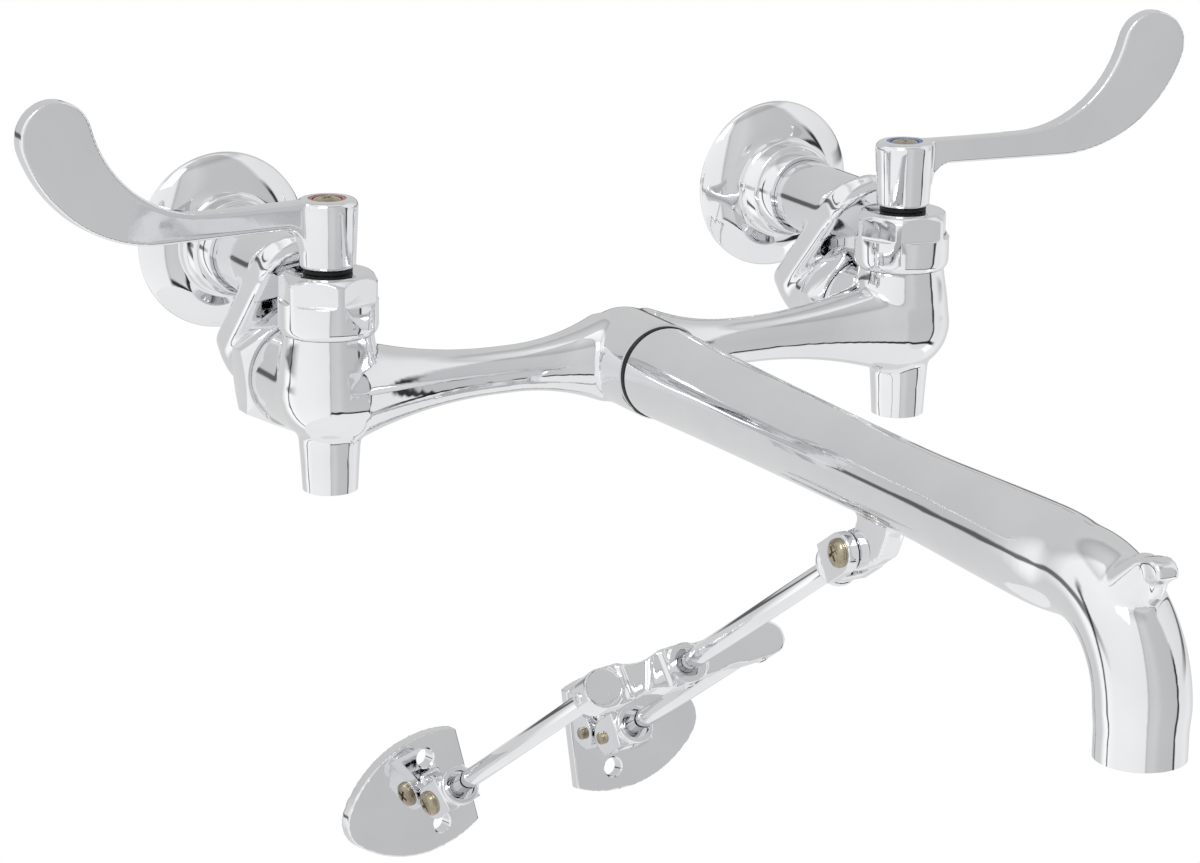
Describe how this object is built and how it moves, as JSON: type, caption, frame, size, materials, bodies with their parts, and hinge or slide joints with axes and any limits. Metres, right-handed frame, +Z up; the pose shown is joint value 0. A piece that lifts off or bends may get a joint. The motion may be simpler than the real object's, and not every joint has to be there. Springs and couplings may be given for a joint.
{
  "type": "wall mount service sink faucet",
  "caption": "Wall-mount service sink faucet with wristblade handles, swinging inlets, a long spout with a pail hook, and an adjustable wall brace under the spout.",
  "frame": {"origin": "on the wall plane, midway between the two supply inlets", "axes": "+X along the wall to the cold side, +Y into the wall, +Z up; the spout points along -Y"},
  "size_m": [0.4009, 0.3778, 0.2851],
  "materials": {
    "polished_chrome": "mirror polished chrome plate over cast and turned brass",
    "black_rubber": "smooth black rubber",
    "brass": "machined brass",
    "index_red": "dull red index ring",
    "index_blue": "dull blue index ring",
    "nickel_screw": "turned screw heads, warm nickel tone"
  },
  "bodies": {
    "faucet": {"faucet_body": "polished_chrome", "bonnet_nut_left": "polished_chrome", "bonnet_nut_right": "polished_chrome", "stem_seal_left": "black_rubber", "stem_seal_right": "black_rubber", "inlet_gasket_left": "black_rubber", "inlet_gasket_right": "black_rubber", "spout_gasket": "black_rubber", "spout": "polished_chrome"},
    "handle_left": {"handle_left": "polished_chrome", "index_ring_left": "index_red", "handle_screw_left": "nickel_screw", "valve_stem_left": "brass", "seat_washer_left": "black_rubber"},
    "stop_left": {"stop_stem_left": "brass"},
    "union_left": {"union_nut_left": "polished_chrome"},
    "inlet_left": {"swing_arm_left": "polished_chrome", "wall_flange_left": "polished_chrome"},
    "handle_right": {"handle_right": "polished_chrome", "index_ring_right": "index_blue", "handle_screw_right": "nickel_screw", "valve_stem_right": "brass", "seat_washer_right": "black_rubber"},
    "stop_right": {"stop_stem_right": "brass"},
    "union_right": {"union_nut_right": "polished_chrome"},
    "inlet_right": {"swing_arm_right": "polished_chrome", "wall_flange_right": "polished_chrome"},
    "spout_clevis": {"spout_clevis": "polished_chrome", "spout_clevis_screw": "nickel_screw"},
    "brace_rod": {"brace_rod": "polished_chrome"},
    "crossbar": {"crossbar": "polished_chrome", "crossbar_set_screws": "polished_chrome", "brace_leg_left": "polished_chrome", "brace_leg_right": "polished_chrome"},
    "wall_clevis_left": {"wall_clevis_left": "polished_chrome", "wall_clevis_screw_left": "nickel_screw"},
    "wall_plate_left": {"wall_plate_left": "polished_chrome"},
    "wall_clevis_right": {"wall_clevis_right": "polished_chrome", "wall_clevis_screw_right": "nickel_screw"},
    "wall_plate_right": {"wall_plate_right": "polished_chrome"}
  },
  "joints": [
    {"name": "handle_left_turn", "type": "hinge", "parent": "faucet", "child": "handle_left", "pos_m": [-0.1016, -0.084, 0], "axis": [0, 0, 1], "range_deg": [0, 90]},
    {"name": "stop_left_turn", "type": "hinge", "parent": "faucet", "child": "stop_left", "pos_m": [-0.1016, -0.084, -0.05], "axis": [0, 0, 1], "continuous": true},
    {"name": "union_left_turn", "type": "hinge", "parent": "faucet", "child": "union_left", "pos_m": [-0.1016, -0.056, -0.03], "axis": [0, 1, 0], "continuous": true},
    {"name": "inlet_left_swing", "type": "hinge", "parent": "faucet", "child": "inlet_left", "pos_m": [-0.1016, -0.05, -0.03], "axis": [0, 1, 0], "range_deg": [-180, 180]},
    {"name": "handle_right_turn", "type": "hinge", "parent": "faucet", "child": "handle_right", "pos_m": [0.1016, -0.084, 0], "axis": [0, 0, 1], "range_deg": [-90, 0]},
    {"name": "stop_right_turn", "type": "hinge", "parent": "faucet", "child": "stop_right", "pos_m": [0.1016, -0.084, -0.05], "axis": [0, 0, 1], "continuous": true},
    {"name": "union_right_turn", "type": "hinge", "parent": "faucet", "child": "union_right", "pos_m": [0.1016, -0.056, -0.03], "axis": [0, 1, 0], "continuous": true},
    {"name": "inlet_right_swing", "type": "hinge", "parent": "faucet", "child": "inlet_right", "pos_m": [0.1016, -0.05, -0.03], "axis": [0, 1, 0], "range_deg": [-180, 180]},
    {"name": "brace_fold", "type": "hinge", "parent": "faucet", "child": "spout_clevis", "pos_m": [0, -0.2258, -0.055], "axis": [1, 0, 0], "range_deg": [-57, 10]},
    {"name": "brace_rod_swivel", "type": "hinge", "parent": "spout_clevis", "child": "brace_rod", "pos_m": [0, -0.2258, -0.055], "axis": [0, 0.8387, -0.5446], "range_deg": [-30, 30]},
    {"name": "crossbar_slide", "type": "slide", "parent": "brace_rod", "child": "crossbar", "axis": [0, -0.8387, 0.5446], "range_m": [0, 0.04]},
    {"name": "wall_clevis_left_swivel", "type": "hinge", "parent": "crossbar", "child": "wall_clevis_left", "pos_m": [-0.03077, -0.016, -0.19575], "axis": [0, 0.8387, -0.5446], "range_deg": [-45, 45]},
    {"name": "wall_plate_left_tilt", "type": "hinge", "parent": "wall_clevis_left", "child": "wall_plate_left", "pos_m": [-0.03077, -0.016, -0.19575], "axis": [0.9636, 0.1455, 0.2241], "range_deg": [-35, 35]},
    {"name": "wall_clevis_right_swivel", "type": "hinge", "parent": "crossbar", "child": "wall_clevis_right", "pos_m": [0.03077, -0.0248, -0.18103], "axis": [0, 0.8387, -0.5446], "range_deg": [-45, 45]},
    {"name": "wall_plate_right_tilt", "type": "hinge", "parent": "wall_clevis_right", "child": "wall_plate_right", "pos_m": [0.03077, -0.0248, -0.18103], "axis": [0.999, 0.0238, 0.0366], "range_deg": [-35, 35]}
  ]
}
